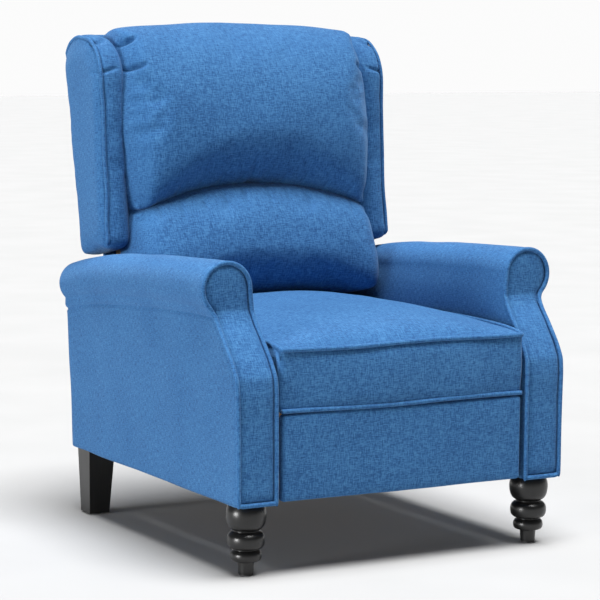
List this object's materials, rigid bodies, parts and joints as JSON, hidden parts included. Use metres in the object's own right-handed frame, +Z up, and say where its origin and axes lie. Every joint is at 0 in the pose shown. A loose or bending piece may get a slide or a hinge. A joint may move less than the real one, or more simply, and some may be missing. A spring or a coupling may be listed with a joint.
{
  "type": "recliner armchair",
  "caption": "Push-back recliner armchair with piped rolled arms, winged back with split cushions, turned front legs and a fold-out footrest on a hidden linkage.",
  "frame": {"origin": "on the floor under the middle of the chair's outline", "axes": "+Z up, the sitter faces -Y, +X to the right of someone looking at the front"},
  "size_m": [0.744, 0.8154, 0.98],
  "materials": {
    "upholstery": "woven blue linen-look polyester",
    "leg_wood": "black satin lacquer",
    "plywood": "raw plywood",
    "frame_wood": "raw hardwood",
    "mechanism_steel": "black powder coat",
    "zinc_steel": "zinc plated",
    "glide_plastic": "black nylon",
    "webbing": "woven elastic webbing"
  },
  "bodies": {
    "base": {"arm_board_left": "plywood", "arm_board_right": "plywood", "arm_sill_left": "frame_wood", "arm_sill_right": "frame_wood", "arm_pad_left": "upholstery", "arm_pad_right": "upholstery", "arm_front_left": "upholstery", "arm_front_right": "upholstery", "front_leg_left": "leg_wood", "front_leg_right": "leg_wood", "rear_leg_left": "leg_wood", "rear_leg_right": "leg_wood", "leg_bolts": "zinc_steel", "leg_glides": "glide_plastic", "base_mid_rail": "frame_wood", "base_rear_rail": "frame_wood", "base_rear_panel": "upholstery", "base_rail_left": "mechanism_steel", "base_rail_right": "mechanism_steel", "base_pins": "zinc_steel"},
    "front_swing": {"front_swing_links": "mechanism_steel"},
    "rear_swing": {"rear_swing_links": "mechanism_steel", "torque_tube": "mechanism_steel"},
    "seat": {"seat_plate_left": "mechanism_steel", "seat_plate_right": "mechanism_steel", "seat_pins": "zinc_steel", "seat_side_rail_left": "frame_wood", "seat_side_rail_right": "frame_wood", "seat_front_rail": "frame_wood", "seat_rear_rail": "frame_wood", "seat_springs": "zinc_steel", "seat_cushion": "upholstery"},
    "footrest_drive": {"drive_links": "mechanism_steel", "drive_pins": "zinc_steel"},
    "footrest_guide": {"guide_links": "mechanism_steel", "guide_pins": "zinc_steel"},
    "footrest_reach": {"reach_links": "mechanism_steel", "reach_pins": "zinc_steel"},
    "footrest_tie": {"tie_links": "mechanism_steel"},
    "footrest": {"footrest_brackets": "mechanism_steel", "bracket_pins": "zinc_steel", "footrest_board": "plywood", "footrest_pad": "upholstery"},
    "back": {"back_stile_left": "frame_wood", "back_stile_right": "frame_wood", "back_top_rail": "frame_wood", "back_bottom_rail": "frame_wood", "back_outer_panel": "upholstery", "wing_blocks": "frame_wood", "back_webbing": "webbing", "back_hinges": "mechanism_steel", "back_hinge_pins": "zinc_steel", "wing_board_left": "plywood", "wing_board_right": "plywood", "wing_pad_left": "upholstery", "wing_pad_right": "upholstery", "lumbar_cushion": "upholstery", "head_cushion": "upholstery"}
  },
  "joints": [
    {"name": "footrest_open", "type": "hinge", "parent": "base", "child": "front_swing", "pos_m": [0, -0.18274, 0.172], "axis": [1, 0, 0], "range_deg": [0, 35]},
    {"name": "seat_level", "type": "hinge", "parent": "front_swing", "child": "seat", "pos_m": [0, -0.10613, 0.23628], "axis": [1, 0, 0], "range_deg": [-35.02, 0]},
    {"name": "rear_swing_turn", "type": "hinge", "parent": "base", "child": "rear_swing", "pos_m": [0, 0.14027, 0.172], "axis": [1, 0, 0], "range_deg": [0, 35.02]},
    {"name": "drive_turn", "type": "hinge", "parent": "seat", "child": "footrest_drive", "pos_m": [0, -0.32773, 0.258], "axis": [1, 0, 0], "range_deg": [-168.02, 0]},
    {"name": "guide_turn", "type": "hinge", "parent": "seat", "child": "footrest_guide", "pos_m": [0, -0.2391, 0.24237], "axis": [1, 0, 0], "range_deg": [-168.02, 0]},
    {"name": "reach_level", "type": "hinge", "parent": "footrest_drive", "child": "footrest_reach", "pos_m": [0, -0.15389, 0.19473], "axis": [1, 0, 0], "range_deg": [0, 168.02]},
    {"name": "tie_turn", "type": "hinge", "parent": "footrest_drive", "child": "footrest_tie", "pos_m": [0, -0.14094, 0.22183], "axis": [1, 0, 0], "range_deg": [0, 182.62]},
    {"name": "footrest_turn", "type": "hinge", "parent": "footrest_reach", "child": "footrest", "pos_m": [0, -0.37252, 0.23328], "axis": [1, 0, 0], "range_deg": [-90.02, 0]},
    {"name": "back_recline", "type": "hinge", "parent": "seat", "child": "back", "pos_m": [0, 0.25227, 0.3], "axis": [-1, 0, 0], "range_deg": [0, 28]}
  ],
  "couplings": [
    {"joint": "seat_level", "follows": "footrest_open", "ratio": -1},
    {"joint": "rear_swing_turn", "follows": "footrest_open", "ratio": 1},
    {"joint": "drive_turn", "follows": "footrest_open", "ratio": -4.8},
    {"joint": "guide_turn", "follows": "footrest_open", "ratio": -4.8},
    {"joint": "reach_level", "follows": "footrest_open", "ratio": 4.8},
    {"joint": "tie_turn", "follows": "footrest_open", "ratio": 5.2171},
    {"joint": "footrest_turn", "follows": "footrest_open", "ratio": -2.5714}
  ]
}
